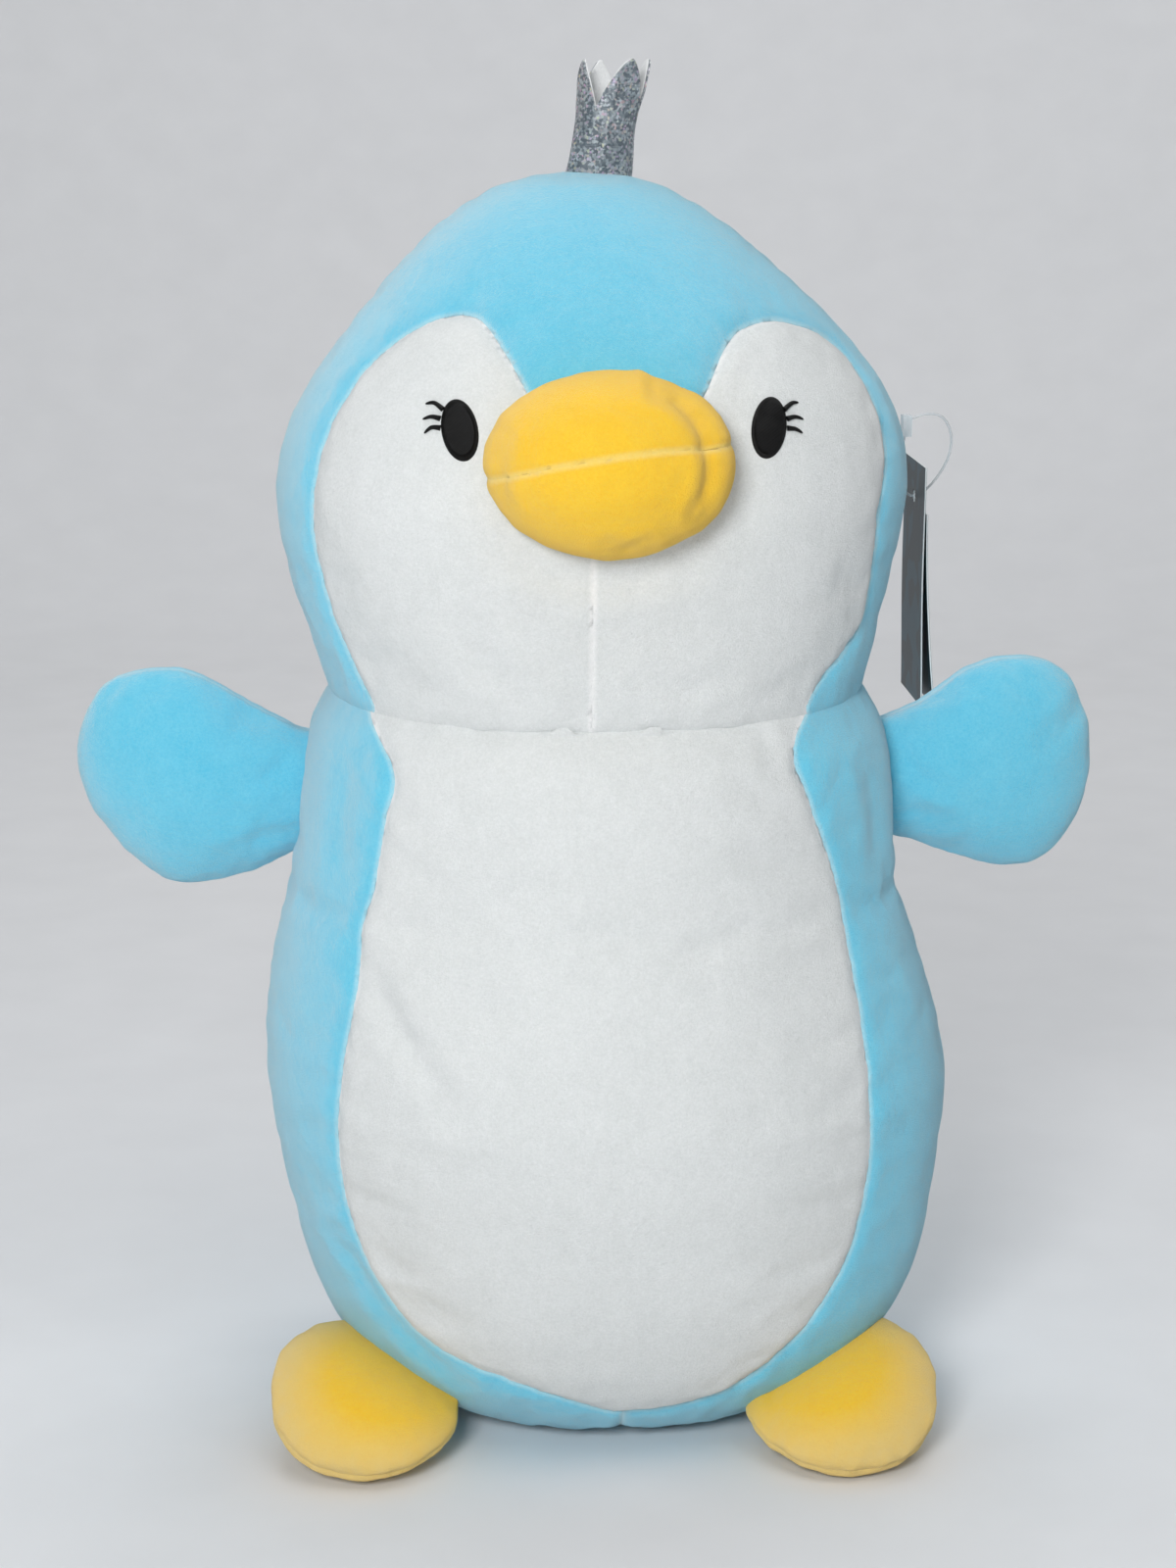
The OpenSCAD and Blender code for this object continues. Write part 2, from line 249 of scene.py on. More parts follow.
class Finish:
    # one material and the nodes that make it
    def __init__(self, name):
        self.material = bpy.data.materials.new(name)
        self.material.use_nodes = True
        self.tree = self.material.node_tree
        self.shader = self.tree.nodes["Principled BSDF"]
        self.places = self.node("ShaderNodeTexCoord", {}, {}, "Object")

    def node(self, kind, settings, values, out=0):
        node = self.tree.nodes.new(kind)
        for name, value in settings.items():
            setattr(node, name, value)
        for key, value in values.items():
            self.put(node.inputs[key], value)
        return Wire(self, node.outputs[out])

    def put(self, socket, value):
        if isinstance(value, Wire):
            self.tree.links.new(value.socket, socket)
        else:
            socket.default_value = value

    def noise(self, size, detail=2.0, rough=0.5, stretch=None, distortion=0.0):
        # size is in metres, 0.5 in the middle
        places = self.places
        if stretch:
            places = self.node("ShaderNodeMapping", {}, {"Vector": places, "Scale": stretch})
        return self.node("ShaderNodeTexNoise", {}, {
            "Vector": places, "Scale": 1 / size, "Detail": detail, "Roughness": rough,
            "Distortion": distortion})

    def mix(self, amount, a, b):
        return self.node("ShaderNodeMix", dict(data_type="RGBA"), {0: amount, 6: a, 7: b}, 2)

    def bands(self, direction, density, distortion):
        return self.node("ShaderNodeTexWave", dict(wave_type="BANDS", bands_direction=direction),
                         {"Vector": self.places, "Scale": density, "Distortion": distortion}, 1)

    def attribute(self, name):
        return self.node("ShaderNodeAttribute", dict(attribute_name=name), {}, "Fac")

    def bump(self, height, distance, strength=1.0, under=None):
        values = {"Height": height, "Distance": distance, "Strength": strength}
        if under:
            values["Normal"] = under
        return self.node("ShaderNodeBump", {}, values)

    def surface(self, **sockets):
        for name, value in sockets.items():
            self.put(self.shader.inputs[name.replace("_", " ")], value)


def rgb(red, green, blue, alpha=1.0):
    # a colour as it looks, 0 to 255, turned linear
    def linear(value):
        value /= 255
        return value / 12.92 if value <= 0.04045 else ((value + 0.055) / 1.055) ** 2.4
    return (linear(red), linear(green), linear(blue), alpha)


velourLook = dict(
    # the last tone of each colour is a painted sheen: the paler, greyer look the pile takes in grazing light
    blue=dict(deep=rgb(84, 200, 234), pale=rgb(122, 216, 242), seam=rgb(196, 236, 247),
              sheen=rgb(238, 230, 224), worn=rgb(150, 200, 214), nap=1.0),
    white=dict(deep=rgb(220, 224, 223), pale=rgb(240, 243, 243), seam=rgb(255, 255, 255),
               sheen=rgb(220, 222, 222), worn=rgb(226, 229, 229), nap=0.35),
    yellow=dict(deep=rgb(253, 196, 38), pale=rgb(255, 212, 60), seam=rgb(255, 230, 140),
                sheen=rgb(214, 196, 160), worn=rgb(238, 208, 132), nap=1.0),
    pile=0.00055, tuft=0.0045, brush=0.005, patch=0.022, thread=0.0012, seamWidth=0.0022,   # metres
    rough=0.92, sheenRough=0.5)


def velour(name, tones):
    # short pile: speckle, brushed patches, pale rubbed seams and a painted sheen, paler and greyer where a
    # piece's sheen mask is marked
    look = Finish(name)
    patches = look.noise(velourLook["patch"], 3.0, 0.55, distortion=0.6)
    brushed = look.noise(velourLook["brush"], 3.0, 0.6, stretch=(1.0, 1.0, 0.7), distortion=0.5)
    speckle = look.noise(velourLook["pile"] * 1.8, 2.0, 0.8)
    tone = (patches * 0.5 + brushed * 0.5 + speckle * 1.4 - 0.7).clamped()
    colour = look.mix(tone, tones["deep"], tones["pale"])
    seam = 1.0 - look.attribute("seam").between(0.0002, velourLook["seamWidth"])
    rubbed = (seam * (0.35 + look.noise(velourLook["thread"], 2.0, 0.7) * 0.9)).clamped()
    colour = look.mix(rubbed * 0.75, colour, tones["seam"])
    # painted sheen: paler and greyer where the piece's mask is marked, broken up by the patches
    worn = look.attribute("worn") * (0.45 + patches * 0.5 + brushed * 0.4)
    colour = look.mix(worn.clamped(), colour, tones["worn"])
    tufts = look.noise(velourLook["pile"], 3.0, 0.8)
    naps = look.noise(velourLook["tuft"], 3.0, 0.6)
    fine = look.bump(tufts, 0.0007, 0.9)
    relief = look.bump(naps, 0.0011, 0.35, under=fine)
    look.surface(Base_Color=colour, Roughness=velourLook["rough"], Normal=relief,
                 Sheen_Weight=tones["nap"], Sheen_Roughness=velourLook["sheenRough"],
                 Specular_IOR_Level=0.1, Sheen_Tint=tones["sheen"])
    return look.material


def fibreFill():
    look = Finish("fibreFill")
    clumps = look.noise(0.006, 4.0, 0.7, distortion=1.5)
    strands = look.noise(0.0009, 3.0, 0.7, stretch=(1.0, 0.25, 1.0), distortion=2.0)
    look.surface(Base_Color=look.mix(clumps * 0.6 + strands * 0.4, rgb(206, 208, 206), rgb(245, 246, 244)),
                 Roughness=0.95, Normal=look.bump(clumps + strands * 0.4, 0.0015, 0.7))
    return look.material


threadPitch = 0.00045          # metres from one thread to the next


def satinStitch():
    # rows of shining thread across the oval, read from the piece's own attribute
    look = Finish("satinStitch")
    turns = look.attribute("thread") * (2 * math.pi / threadPitch)
    ridge = turns.maths("SINE", turns) * 0.5 + 0.5
    uneven = look.noise(0.0022, 2.0, 0.6)
    # the thread crowns are painted lighter and the grooves between rows darker: painted shade, with a random
    # uneven tone
    colour = look.mix((ridge * 0.5 + uneven * 0.3).clamped(), rgb(1, 1, 1), rgb(9, 9, 10))
    look.surface(Base_Color=colour, Roughness=0.42 + uneven * 0.2,
                 Normal=look.bump(ridge + uneven * 0.4, 0.00012, 0.8),
                 Specular_IOR_Level=0.25, Anisotropic=0.5)
    return look.material


def silverCloth():
    # metal film on a woven strip, broken into small tilted facets
    look = Finish("silverCloth")
    cells = look.node("ShaderNodeTexVoronoi", dict(feature="F1"),
                      {"Vector": look.places, "Scale": 1100.0}, "Color")
    flecks = look.node("ShaderNodeSeparateColor", {}, {0: cells}, 0)
    weave = look.bands("Z", 620.0, 1.5)
    worn = look.noise(0.006, 3.0, 0.6)
    silver = look.mix(flecks.between(0.15, 0.95), rgb(146, 152, 158), rgb(240, 244, 247))
    rainbow = look.mix((flecks - 0.7).clamped() * 1.2, silver, cells)
    colour = look.mix(worn.between(0.4, 0.62) * 0.35, rainbow, rgb(104, 112, 122))
    look.surface(Base_Color=colour, Metallic=0.75 - worn * 0.2, Roughness=0.3 + flecks * 0.22,
                 Normal=look.bump(flecks + weave * 0.6, 0.0004, 1.0))
    return look.material


def feltLining():
    look = Finish("feltLining")
    fuzz = look.noise(0.0009, 3.0, 0.75)
    look.surface(Base_Color=look.mix(fuzz, rgb(205, 208, 210), rgb(240, 241, 240)), Roughness=0.95,
                 Sheen_Weight=0.3, Normal=look.bump(fuzz, 0.0004, 0.7))
    return look.material


def tagCard():
    # coated dark teal card with paper showing at the cut edge
    look = Finish("tagCard")
    edge = look.attribute("cut").between(0.3, 0.7)
    mottle = look.noise(0.0015, 2.0, 0.6)
    swirl = look.noise(0.016, 1.0, 0.4, distortion=0.4)
    face = look.mix(swirl.between(0.5, 0.54), rgb(6, 36, 44), rgb(10, 66, 78))
    face = look.mix(mottle * 0.12, face, rgb(40, 110, 120))
    look.surface(Base_Color=look.mix(edge, face, rgb(238, 240, 238)), Roughness=0.42 + edge * 0.45,
                 Normal=look.bump(mottle, 0.00005, 0.4), Specular_IOR_Level=0.25)
    return look.material


def clearNylon():
    look = Finish("clearNylon")
    draw = look.noise(0.0012, 2.0, 0.5, stretch=(1.0, 1.0, 0.2))
    look.surface(Base_Color=look.mix(draw, rgb(205, 214, 218), rgb(250, 252, 253)),
                 Roughness=0.1 + draw * 0.12, Alpha=0.62, Specular_IOR_Level=0.8, IOR=1.53,
                 Normal=look.bump(draw, 0.00004, 0.5))
    return look.material


def labelSatin():
    look = Finish("labelSatin")
    warp, weft = look.bands("X", 900.0, 0.4), look.bands("Z", 700.0, 0.4)
    slub = look.noise(0.004, 3.0, 0.6)
    look.surface(Base_Color=look.mix(slub, rgb(228, 228, 224), rgb(250, 250, 248)),
                 Roughness=0.38 + slub * 0.15, Sheen_Weight=0.2,
                 Normal=look.bump(warp * 0.6 + weft * 0.6 + slub * 0.3, 0.00008, 0.6))
    return look.material


# each finish with the record's slot for it
finishes = dict(
    blue=(velour("blueVelour", velourLook["blue"]), "blue_plush"),
    white=(velour("whiteVelour", velourLook["white"]), "white_plush"),
    yellow=(velour("yellowVelour", velourLook["yellow"]), "yellow_plush"),
    fill=(fibreFill(), "stuffing"), stitch=(satinStitch(), "embroidery"),
    silver=(silverCloth(), "crown_cloth"), lining=(feltLining(), "crown_lining"),
    card=(tagCard(), "tag_card"), nylon=(clearNylon(), "tag_nylon"), satin=(labelSatin(), "label_satin"))


def dress(obj, finish, body=None, replaced=()):
    material, slot = finishes[finish]
    obj.data.materials.clear()
    obj.data.materials.append(material)
    if body:
        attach(obj, body)
    if replaced:
        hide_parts(*replaced)


print("materials made")

# the tag's nylon loop, its bar and the tag

loopRoute = [(118, 12, 379), (125, 16, 381), (133, 23, 379), (138, 31, 371), (138, 38, 361),
             (133, 43, 351), (127, 45, 346), (122, 43, 349), (119.5, 36, 357), (118.5, 27, 366),
             (118, 18, 373), (117.5, 12, 375.5)]
tagLoop = dict(diameter=1.0)


def addLoop(route, sizes):
    fine = through(route, 3) * mm
    loop = wireOf("tagLoop", fine, sizes["diameter"] * mm / 2)
    dress(loop, "nylon", "torso", ["tag_loop"])


addLoop(loopRoute, tagLoop)
print("cord made")

# stuffed skins: remeshed, blown up, seamed and cut into panels

skinMake = dict(voxel=4.0, start=-1.2, cap=5.0, pressure=4.0, frames=20, mass=0.2, stretch=-0.012,
                cloth=1.6, held=2.5, inset=4.0)
limbPuff = dict(cap=3.0, pressure=5.0)


def remeshed(name, nodes, voxel):
    parts = [linked(name, frame["nodes"][node].data.copy()) for node in nodes]
    only(*parts)
    bpy.ops.object.join()
    return voxelForm(parts[0], voxel)


def voxelForm(obj, voxel):
    reworked(obj, bpy.ops.mesh.remove_doubles, threshold=0.00001)
    obj.data.remesh_voxel_size = voxel * mm
    bpy.ops.object.voxel_remesh()
    # inner shells left between the layers go
    reworked(obj, bpy.ops.mesh.separate, type="LOOSE")
    outer, *inner = sorted(bpy.context.selected_objects, key=lambda o: -o.dimensions.length)
    for shell in inner:
        bpy.data.objects.remove(shell)
    finishWith(outer, "SMOOTH", factor=0.5, iterations=4)
    return outer


def limbForm(name, place, voxel):
    # a ball stretched into a limb: place is given how far out each point is and its way round
    form = added(bpy.ops.mesh.primitive_uv_sphere_add, name, segments=48, ring_count=40, radius=1)
    unit = pointsOf(form)
    ring = np.hypot(unit[:, 0], unit[:, 1])
    way = unit[:, :2] / np.maximum(ring, 1e-6)[:, None] * (ring > 1e-5)[:, None]
    movePoints(form, place((unit[:, 2] + 1) / 2, way[:, 0], way[:, 1]))
    reworked(form, bpy.ops.mesh.normals_make_consistent, inside=False)
    return voxelForm(form, voxel)


def blownUp(obj, pinned, cap=skinMake["cap"], pressure=skinMake["pressure"]):
    # cloth held at its seams and filled with pressure
    movePoints(obj, pointsOf(obj) + normalsOf(obj) * skinMake["start"] * mm)
    before = pointsOf(obj)
    group = obj.vertex_groups.new(name="held")
    for i in np.flatnonzero(pinned(before)):
        group.add([int(i)], 1.0, "REPLACE")
    cloth = obj.modifiers.new("Cloth", "CLOTH")
    settings = dict(quality=6, mass=skinMake["mass"], use_pressure=True, uniform_pressure_force=pressure,
                    shrink_min=skinMake["stretch"], vertex_group_mass=group.name)
    for name, value in settings.items():
        setattr(cloth.settings, name, value)
    cloth.settings.effector_weights.gravity = 0
    cloth.point_cache.frame_start = 1
    cloth.point_cache.frame_end = skinMake["frames"]
    for i in range(1, skinMake["frames"] + 1):
        bpy.context.scene.frame_set(i)
    move = pointsOf(obj.evaluated_get(bpy.context.evaluated_depsgraph_get())) - before
    size = np.linalg.norm(move, axis=1, keepdims=True)
    limit = cap * mm
    move *= limit * np.tanh(size / limit) / np.maximum(size, 1e-9)
    obj.modifiers.remove(cloth)
    obj.vertex_groups.remove(group)
    movePoints(obj, before + move)
    bpy.context.scene.frame_set(1)
    print("  blown up", obj.name, "mean move", round(float(size.mean()) / mm, 2), "mm")


def everywhere(points):
    return np.ones(len(points), bool)


def cutAlong(obj, field, region):
    # new edges where a field over the surface crosses nought
    points = pointsOf(obj)
    bm = bmesh.new()
    bm.from_mesh(obj.data)
    bm.verts.ensure_lookup_table()
    value = dict(zip(bm.verts, field(points)))
    inside = dict(zip(bm.verts, region(points)))
    zero = set()
    for edge in bm.edges:
        a, b = edge.verts
        if value[a] * value[b] < 0 and inside[a] and inside[b]:
            t = value[a] / (value[a] - value[b])
            near = a if t < 0.3 else b if t > 0.7 else None
            if near:
                near.co = a.co.lerp(b.co, t)
                value[near] = 0
                zero.add(near)
    for edge in list(bm.edges):
        a, b = edge.verts
        if value[a] * value[b] < 0 and inside[a] and inside[b]:
            fresh = bmesh.utils.edge_split(edge, a, value[a] / (value[a] - value[b]))[1]
            value[fresh], inside[fresh] = 0, True
            zero.add(fresh)
    for face in list(bm.faces):
        ring = list(face.verts)
        spots = [i for i, v in enumerate(ring) if v in zero]
        for i in spots:
            for j in spots:
                first = {np.sign(value[ring[k]]) for k in range(i + 1, j)} - {0}
                rest = {np.sign(value[ring[k % len(ring)]]) for k in range(j + 1, i + len(ring))} - {0}
                if i < j and len(first) == 1 and len(rest) == 1 and first != rest:
                    bmesh.utils.face_split(face, ring[i], ring[j])
                    break
            else:
                continue
            break
    bm.to_mesh(obj.data)
    bm.free()


def seamPoints(obj, labels):
    # fine points along every edge that two panels share
    sides = {}
    for polygon, label in zip(obj.data.polygons, labels):
        for key in polygon.edge_keys:
            sides.setdefault(key, set()).add(label)
    points = pointsOf(obj)
    spots = []
    for (a, b), found in sides.items():
        if len(found) > 1:
            for t in (0, 0.25, 0.5, 0.75):
                spots.append(points[a] * (1 - t) + points[b] * t)
    return spots


def nearest(points, spots):
    tree = KDTree(len(spots))
    for i, spot in enumerate(spots):
        tree.insert(spot, i)
    tree.balance()
    return np.array([tree.find(p)[2] for p in points])


def ripples(points, size):
    return np.array([noise.noise(Vector(p) / size) for p in points])


def sewn(obj, labels, groove=1.8, reach=7.0, pucker=0.6, puckerSize=8.0, share=lambda p: 1.0):
    # the cloth turns in at its seams, with small puckers beside them
    points, normals = pointsOf(obj), normalsOf(obj)
    away = nearest(points, seamPoints(obj, labels))
    roll = np.clip(1 - away / (reach * mm), 0, 1)
    depth = groove * roll ** 2.2
    depth = depth + pucker * ripples(points, puckerSize * mm) * np.exp(-(away / (10 * mm)) ** 2)
    depth = depth * share(points)
    movePoints(obj, points - normals * depth[:, None] * mm)
    mark(obj, "seam", away)


def creased(obj, folds):
    # each fold is a line seen from the front, pressed in with soft lips
    points, normals = pointsOf(obj), normalsOf(obj)
    flat, push = points[:, (0, 2)] / mm, np.zeros(len(points))
    for fold in folds:
        line = through(fold["line"], 6)
        away = distanceTo(flat, line) / fold["width"]
        ends = np.minimum(*(np.linalg.norm(flat - end, axis=1) for end in (line[0], line[-1])))
        fade = np.clip(ends / (fold["width"] * 2.5), 0, 1)
        shape = np.exp(-away ** 2) - 0.45 * np.exp(-((away - 2) / 1.1) ** 2)
        push += shape * fold["depth"] * fade * (points[:, 1] < 0)
    movePoints(obj, points - normals * push[:, None] * mm)


def panelOf(obj, labels, label, name):
    # the faces with this label, as one thick piece of cloth
    panel = linked(name, obj.data.copy())
    bm = bmesh.new()
    bm.from_mesh(panel.data)
    gone = [face for face, found in zip(bm.faces, labels) if found != label]
    bmesh.ops.delete(bm, geom=gone, context="FACES")
    bm.to_mesh(panel.data)
    bm.free()
    finishWith(panel, "SOLIDIFY", thickness=skinMake["cloth"] * mm, offset=-1)
    smoothShade(panel, 60)
    return panel


def dressPanels(form, labels, rows):
    # a row holds the label, the panel's node and its finish
    for label, node, finish in rows:
        first, *rest = node.split("_")
        panel = panelOf(form, labels, label, first + "".join(word.title() for word in rest) + "Skin")
        dress(panel, finish, "torso", [node + "_panel"])


def dressBent(piece, finish, node, ends):
    # cloth that crosses the joint between two bodies
    dress(piece, finish, None, [node])
    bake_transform(piece)


def fillOf(form, name, inset):
    fill = linked(name, form.data.copy())
    points, normals = pointsOf(fill), normalsOf(fill)
    tree = BVHTree.FromObject(form, bpy.context.evaluated_depsgraph_get())
    for i, (point, normal) in enumerate(zip(points, normals)):
        # thin places keep two fifths of their thickness on each side
        away = tree.ray_cast(Vector(point - normal * 0.0002), Vector(-normal))[3] or 0
        points[i] -= normal * min(inset * mm, 0.4 * away)
    movePoints(fill, points)
    finishWith(fill, "SMOOTH", factor=0.5, iterations=3)
    smoothShade(fill)
    return fill


# how far each flank stands from the plain shape, (height, shift towards +X)
outline = dict(
    left=[(0, 6), (60, 8), (90, 6.5), (150, 4), (200, 1.5), (283, 0), (330, -1.8), (390, 1), (415, 1.3),
          (440, -2.5), (470, -5.5)],
    right=[(0, 6), (60, 6), (90, 5), (140, 3), (170, -2.5), (200, -5), (222, -3), (250, 0), (283, 0),
           (330, -4), (390, -2.2), (415, -2.5), (440, -6), (470, -7)])


def leaning(points):
    # the toy's real, uneven stance
    z = points[:, 2] / mm
    width = np.clip(points[:, 0] / (100 * mm), -1, 1)
    shift = curveOf(outline["left"], z) * (1 + width) / 2 + curveOf(outline["right"], z) * (1 - width) / 2
    moved = points.copy()
    moved[:, 0] += shift * mm
    droop = np.exp(-((z - 283) / 26) ** 2) * np.clip(-points[:, 1] / (80 * mm), 0, 1)
    moved[:, 2] -= 2.5 * droop * mm
    return moved


def ringSide(size):
    # how far outside an oval opening points lie
    wide, deep = size[0] * mm, size[1] * mm
    return lambda p: (np.hypot(p[:, 0] / wide, p[:, 1] / deep) - 1) * deep


# body

bodyMake = dict(
    belly=[(-74, 296), (-76, 262), (-80, 245), (-84, 222), (-89, 205), (-91, 183), (-96, 160), (-99, 130),
           (-96, 100), (-84, 70), (-66, 49), (-36, 35), (-14, 26), (2, 19), (26, 21), (48, 30), (70, 49),
           (85, 71), (93, 90), (97, 120), (96, 152), (92, 183), (85, 219), (76, 245), (67, 272), (66, 296)],
    neck=(92, 75), neckReach=3.0, base=(60, 49),
    folds=[dict(line=[(-89, 196), (-78, 178), (-64, 158), (-56, 146)], depth=1.6, width=5),
           dict(line=[(-75, 256), (-68, 246), (-58, 240)], depth=0.5, width=3.5),
           dict(line=[(-72, 236), (-64, 228), (-58, 224)], depth=0.4, width=3.5),
           dict(line=[(-98, 86), (-86, 64), (-70, 46), (-54, 34)], depth=1.5, width=3.5),
           dict(line=[(-92, 268), (-95, 245), (-96, 222)], depth=1.0, width=3.5),
           dict(line=[(97, 262), (100, 240), (102, 222)], depth=1.2, width=3.5),
           dict(line=[(52, 280), (60, 268), (74, 262)], depth=0.7, width=3)])


def makeBody(make):
    names = ["belly_panel", "body_side_left_panel", "body_side_right_panel", "body_back_left_panel",
             "body_back_right_panel", "base_panel", "body_stuffing"]
    form = remeshed("bodyForm", names, skinMake["voxel"])

    def held(points):
        x, y, z = points.T
        near = skinMake["held"] * mm
        side = (np.abs(y) < near) & (z > 20 * mm)
        back = (np.abs(x) < near) & (y > 0)
        belly = (np.abs(bellySide(points)) < near) & (y < 0)
        return side | back | belly | (z > 279 * mm) | (z < 3 * mm)

    bellyLine = through(make["belly"], 6, closed=True) * mm

    def bellySide(points):
        leaned = leaning(points)
        return sideOf(leaned[:, (0, 2)], bellyLine)

    blownUp(form, held)
    points = pointsOf(form)
    points[:, 2] += make["neckReach"] * mm * np.clip((points[:, 2] / mm - 262) / 20, 0, 1) ** 2
    movePoints(form, points)
    fill = fillOf(form, "bodyFill", skinMake["inset"])
    finishWith(form, "SUBSURF", levels=1, render_levels=1)
    top, bottom = ringSide(make["neck"]), ringSide(make["base"])
    cutAlong(form, lambda p: p[:, 1], lambda p: (p[:, 2] > 2 * mm) & (bottom(p) > -2 * mm))
    cutAlong(form, lambda p: p[:, 0], lambda p: (p[:, 1] > -2 * mm) | (bellySide(p) > -2 * mm))
    cutAlong(form, bellySide, lambda p: (p[:, 1] < 0))
    cutAlong(form, top, lambda p: p[:, 2] > 272 * mm)
    cutAlong(form, bottom, lambda p: p[:, 2] < 8 * mm)
    middle = centresOf(form)
    labels = np.where(middle[:, 1] > 0, "back", "side").astype(object)
    labels = labels + np.where(middle[:, 0] > 0, "Left", "Right").astype(object)
    labels[(bellySide(middle) < 0) & (middle[:, 1] < 0)] = "belly"
    labels[(top(middle) < 0) & (middle[:, 2] > 272 * mm)] = "lid"
    labels[(bottom(middle) < 0) & (middle[:, 2] < 8 * mm)] = "base"
    sewn(form, labels, share=lambda p: np.clip((278 * mm - p[:, 2]) / (8 * mm), 0, 1))
    movePoints(form, leaning(pointsOf(form)))
    creased(form, make["folds"])
    movePoints(fill, leaning(pointsOf(fill)))
    dressPanels(form, labels, [
        ("belly", "belly", "white"), ("sideLeft", "body_side_left", "blue"),
        ("sideRight", "body_side_right", "blue"), ("backLeft", "body_back_left", "blue"),
        ("backRight", "body_back_right", "blue"), ("base", "base", "blue")])
    dress(fill, "fill", "torso", ["body_stuffing"])
    return form


bodyForm = makeBody(bodyMake)
print("body made")

# head

headMake = dict(
    face=[(-78, 270), (-82, 284), (-90, 297), (-98, 318), (-104, 348), (-101, 375), (-90, 398), (-76, 413),
          (-59, 423), (-45, 424), (-35, 412), (-28, 400), (-15, 382), (0, 370), (16, 380), (32, 397),
          (43, 416), (57, 422), (72, 419), (86, 411), (97, 395), (102, 375), (99, 351), (97, 318),
          (90, 305), (80, 295), (72, 284), (68, 270)],
    chin=-6, neck=(92, 75), neckReach=3.0, topReach=3.5,
    folds=[dict(line=[(-50, 318), (-42, 304), (-30, 296)], depth=0.9, width=5),
           dict(line=[(-24, 312), (-16, 300), (-12, 290)], depth=0.7, width=4),
           dict(line=[(14, 300), (26, 296), (40, 300)], depth=0.7, width=4),
           dict(line=[(-36, 346), (-20, 338), (2, 336), (24, 340)], depth=1.2, width=5)])


def makeHead(make):
    names = ["head_front_panel", "head_back_left_panel", "head_back_right_panel", "face_left_panel",
             "face_right_panel", "head_stuffing"]
    form = remeshed("headForm", names, skinMake["voxel"])
    faceLine = through(make["face"], 6, closed=True) * mm

    def faceSide(points):
        leaned = leaning(points)
        return sideOf(leaned[:, (0, 2)], faceLine)

    def held(points):
        x, y, z = points.T
        near = skinMake["held"] * mm
        side = np.abs(y) < near
        back = (np.abs(x) < near) & (y > 0)
        face = (np.abs(faceSide(points)) < near) & (y < 0)
        return side | back | face | (z < 287 * mm) | (z > 466 * mm)

    def chin(points):
        return leaning(points)[:, 0] - make["chin"] * mm

    blownUp(form, held)
    points = pointsOf(form)
    points[:, 2] -= make["neckReach"] * mm * np.clip((304 - points[:, 2] / mm) / 20, 0, 1) ** 2
    points[:, 2] += make["topReach"] * mm * np.clip((points[:, 2] / mm - 400) / 66, 0, 1) ** 1.5
    movePoints(form, points)
    fill = fillOf(form, "headFill", skinMake["inset"])
    finishWith(form, "SUBSURF", levels=1, render_levels=1)
    opening = ringSide(make["neck"])
    cutAlong(form, lambda p: p[:, 1], everywhere)
    cutAlong(form, lambda p: p[:, 0], lambda p: p[:, 1] > -1 * mm)
    cutAlong(form, faceSide, lambda p: p[:, 1] < 0)
    cutAlong(form, chin, lambda p: (p[:, 1] < 0) & (faceSide(p) < 1 * mm))
    cutAlong(form, opening, lambda p: p[:, 2] < 294 * mm)
    middle = centresOf(form)
    labels = np.where(middle[:, 1] > 0, "back", "front").astype(object)
    left = np.where(middle[:, 0] > 0, "Left", "Right").astype(object)
    labels = np.where(middle[:, 1] > 0, labels + left, labels)
    face = (faceSide(middle) < 0) & (middle[:, 1] < 0)
    chinLeft = np.where(chin(middle) > 0, "faceLeft", "faceRight").astype(object)
    labels[face] = chinLeft[face]
    labels[(opening(middle) < 0) & (middle[:, 2] < 294 * mm)] = "lid"

    def share(p):
        # the chin seam lies nearly flush, and the neck seam hides the rest
        flush = np.exp(-((p[:, 0] / mm - make["chin"]) / 9) ** 2) * (p[:, 1] < 0) * (p[:, 2] < 352 * mm)
        return np.clip((p[:, 2] - 286 * mm) / (8 * mm), 0, 1) * (1 - 0.75 * flush)

    sewn(form, labels, share=share)
    movePoints(form, leaning(pointsOf(form)))
    creased(form, make["folds"])
    movePoints(fill, leaning(pointsOf(fill)))
    dressPanels(form, labels, [
        ("front", "head_front", "blue"), ("backLeft", "head_back_left", "blue"),
        ("backRight", "head_back_right", "blue"), ("faceLeft", "face_left", "white"),
        ("faceRight", "face_right", "white")])
    dress(fill, "fill", "torso", ["head_stuffing"])
    return form


headForm = makeHead(headMake)
print("head made")

# arms

